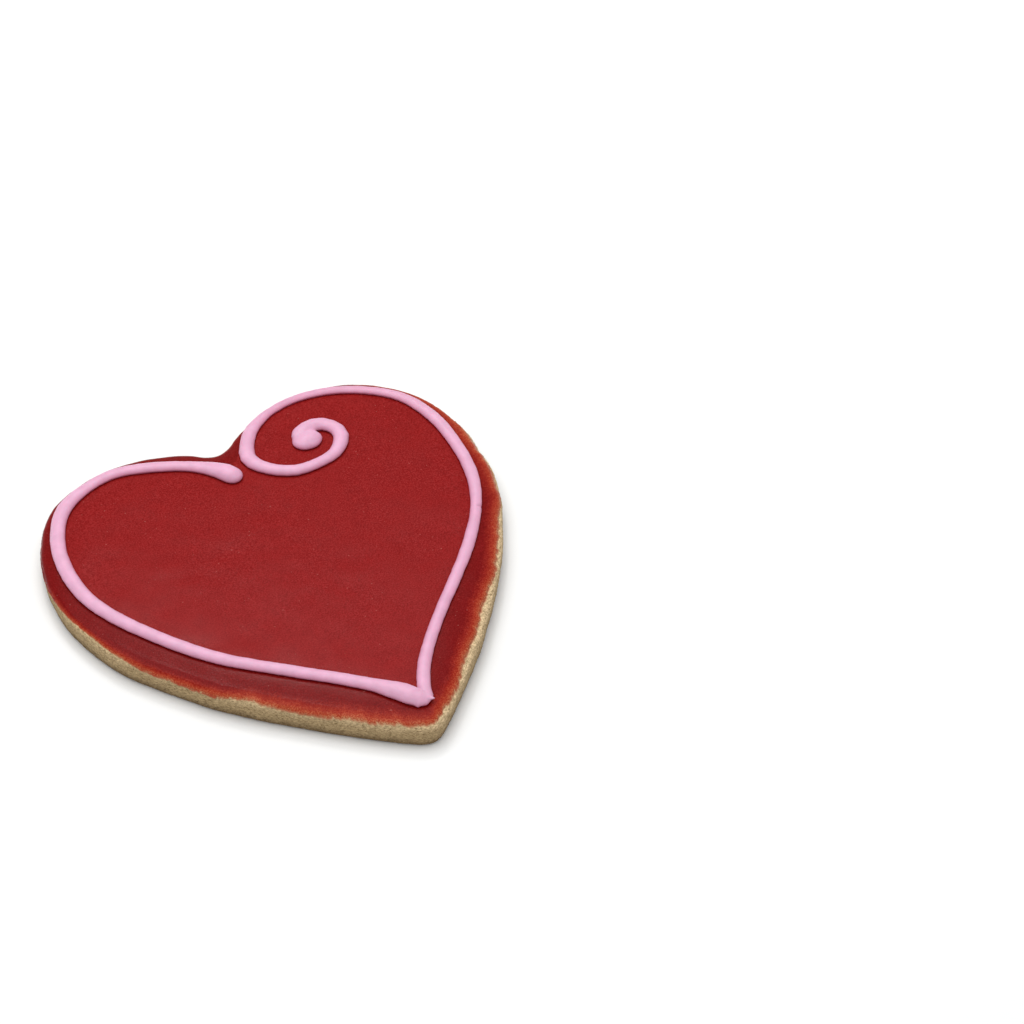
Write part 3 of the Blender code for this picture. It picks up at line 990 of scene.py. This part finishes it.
def make_piping(settings):
    bm = merged_copy("pink_piping")
    join, radius = CURL_JOIN
    bmesh.ops.create_icosphere(
        bm, subdivisions=CURL_JOIN_FINENESS, radius=radius, matrix=Matrix.Translation(join)
    )
    bmesh.ops.translate(bm, verts=bm.verts, vec=(*PIPING_SHIFT, -SOLID_GAP - SUNK))
    skin = fused(bm)
    piece = link_piece("piped_line", skin, "pink_piping", make_piping_material(settings))
    mesh = piece.data
    places = vertex_places(mesh)
    normals = vertex_normals(mesh)
    push = PIPING_GROWTH + settings.unevenness / MM * wander_in_layers(places, PIPING_SWELLS)
    for (x, y), radius, depth in PITS:
        away = np.hypot(places[:, 0] - x, places[:, 1] - y)
        push -= depth * np.exp(-((away / radius) ** 2)) * (normals[:, 2] > 0)
    places = places + normals * push[:, None]
    places, above = seat_on(places, normals, bpy.data.objects["icing_coat"])
    put_places(mesh, pull_peaks(places))
    # Painted shade: strongest at the foot, gone at the given height above the icing.
    foot_shade = mesh.attributes.new("foot_shade", "FLOAT", "POINT")
    foot_shade.data.foreach_set("value", np.clip(1 - above / FOOT_SHADE_HEIGHT, 0, 1).astype(np.float32))
    return piece


def make_floor(settings):
    bm = bmesh.new()
    bmesh.ops.create_grid(bm, x_segments=1, y_segments=1, size=FLOOR_SIZE)
    mesh = bpy.data.meshes.new("floor")
    bm.to_mesh(mesh)
    bm.free()
    mesh.materials.append(make_floor_material(settings.floor_colour))
    floor = bpy.data.objects.new("floor", mesh)
    bpy.context.scene.collection.objects.link(floor)
    return floor


def add_softbox(name, place, size, power):
    light = bpy.data.lights.new(name, "AREA")
    light.shape = "SQUARE"
    light.size = size
    light.energy = power
    lamp = bpy.data.objects.new(name, light)
    lamp.location = place
    lamp.rotation_euler = (-Vector(place)).to_track_quat("-Z", "Y").to_euler()
    bpy.context.scene.collection.objects.link(lamp)
    return lamp


def add_sky(strength):
    world = bpy.data.worlds.new("sky")
    world.use_nodes = True
    background = world.node_tree.nodes["Background"]
    background.inputs["Color"].default_value = (1.0, 1.0, 1.0, 1.0)
    background.inputs["Strength"].default_value = strength
    bpy.context.scene.world = world


def add_camera():
    """The photograph's viewing angle."""
    data = bpy.data.cameras.new("camera")
    data.lens = CAMERA_LENS
    data.clip_start = CAMERA_NEAREST * MM
    camera = bpy.data.objects.new("camera", data)
    place = Vector(CAMERA_PLACE) * MM
    aim = Vector(CAMERA_TARGET) * MM - place
    roll = Quaternion((0, 0, 1), math.radians(CAMERA_ROLL))
    camera.location = place
    camera.rotation_euler = (aim.to_track_quat("-Z", "Y") @ roll).to_euler()
    bpy.context.scene.collection.objects.link(camera)
    bpy.context.scene.camera = camera


class HEARTBISCUIT_OT_biscuit(bpy.types.Operator):
    """Make the baked biscuit"""

    bl_idname = "heart_biscuit.make_biscuit"
    bl_label = "Make biscuit"

    def execute(self, context):
        make_biscuit(context.scene.heart_biscuit_body, context.scene.heart_biscuit_icing)
        return {"FINISHED"}


class HEARTBISCUIT_OT_icing(bpy.types.Operator):
    """Make the coat of red icing"""

    bl_idname = "heart_biscuit.make_icing"
    bl_label = "Make icing"

    def execute(self, context):
        make_icing(context.scene.heart_biscuit_icing, context.scene.heart_biscuit_body)
        return {"FINISHED"}


class HEARTBISCUIT_OT_piping(bpy.types.Operator):
    """Make the piped border and curl"""

    bl_idname = "heart_biscuit.make_piping"
    bl_label = "Make piping"

    def execute(self, context):
        make_piping(context.scene.heart_biscuit_piping)
        return {"FINISHED"}


class HEARTBISCUIT_OT_stage(bpy.types.Operator):
    """Make the floor, lights and camera"""

    bl_idname = "heart_biscuit.make_stage"
    bl_label = "Make stage"

    def execute(self, context):
        settings = context.scene.heart_biscuit_stage
        make_floor(settings)
        add_softbox("overhead", OVERHEAD_PLACE, OVERHEAD_SIZE, settings.overhead_power)
        add_softbox("far_side", FAR_SIDE_PLACE, FAR_SIDE_SIZE, settings.far_side_power)
        add_sky(settings.sky_strength)
        add_camera()
        context.scene.view_settings.view_transform = "Standard"
        return {"FINISHED"}


class HEARTBISCUIT_PT_panel(bpy.types.Panel):
    """Lists the biscuit's pieces and their settings"""

    bl_label = "Heart biscuit"
    bl_space_type = "VIEW_3D"
    bl_region_type = "UI"
    bl_category = "Biscuit"

    def draw(self, context):
        for operator, settings in STEPS:
            box = self.layout.box()
            box.operator(operator.bl_idname)
            for name in settings.__annotations__:
                box.prop(getattr(context.scene, PROPERTY_NAMES[settings]), name)


STEPS = (
    (HEARTBISCUIT_OT_biscuit, BiscuitSettings),
    (HEARTBISCUIT_OT_icing, IcingSettings),
    (HEARTBISCUIT_OT_piping, PipingSettings),
    (HEARTBISCUIT_OT_stage, StageSettings),
)
PROPERTY_NAMES = {
    BiscuitSettings: "heart_biscuit_body",
    IcingSettings: "heart_biscuit_icing",
    PipingSettings: "heart_biscuit_piping",
    StageSettings: "heart_biscuit_stage",
}


def register():
    for operator, settings in STEPS:
        bpy.utils.register_class(settings)
        bpy.utils.register_class(operator)
        pointer = bpy.props.PointerProperty(type=settings)
        setattr(bpy.types.Scene, PROPERTY_NAMES[settings], pointer)
    bpy.utils.register_class(HEARTBISCUIT_PT_panel)


def unregister():
    bpy.utils.unregister_class(HEARTBISCUIT_PT_panel)
    for operator, settings in reversed(STEPS):
        delattr(bpy.types.Scene, PROPERTY_NAMES[settings])
        bpy.utils.unregister_class(operator)
        bpy.utils.unregister_class(settings)


def main():
    register()
    bpy.ops.heart_biscuit.make_biscuit()
    bpy.ops.heart_biscuit.make_icing()
    bpy.ops.heart_biscuit.make_piping()
    bpy.ops.heart_biscuit.make_stage()


if __name__ == "__main__":
    main()
